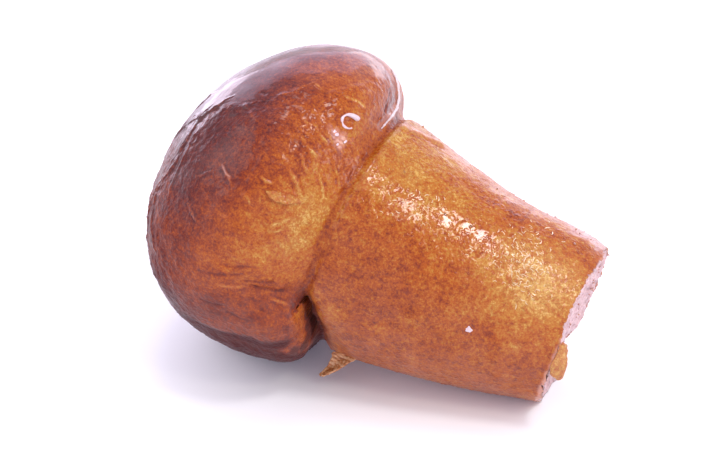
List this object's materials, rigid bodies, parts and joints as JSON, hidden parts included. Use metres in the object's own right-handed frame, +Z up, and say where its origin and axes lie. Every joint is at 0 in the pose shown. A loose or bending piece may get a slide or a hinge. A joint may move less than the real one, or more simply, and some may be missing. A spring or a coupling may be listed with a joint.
{
  "type": "rum baba",
  "caption": "Soaked yeast cake lying on its side: a glossy browned mushroom cap over a tapered stem with a torn, crumbly end.",
  "frame": {"origin": "on the floor, under the middle of the cake's bounding box", "axes": "+X from the cap towards the stem's torn end, -Y towards the side that the picture shows, +Z up from the floor"},
  "size_m": [0.1096, 0.0794, 0.0766],
  "materials": {
    "crust": "browned cake crust, wet and glossy with syrup, with a pale porous crumb on the torn end"
  },
  "bodies": {
    "root": {"rum_baba": "crust"}
  },
  "joints": []
}
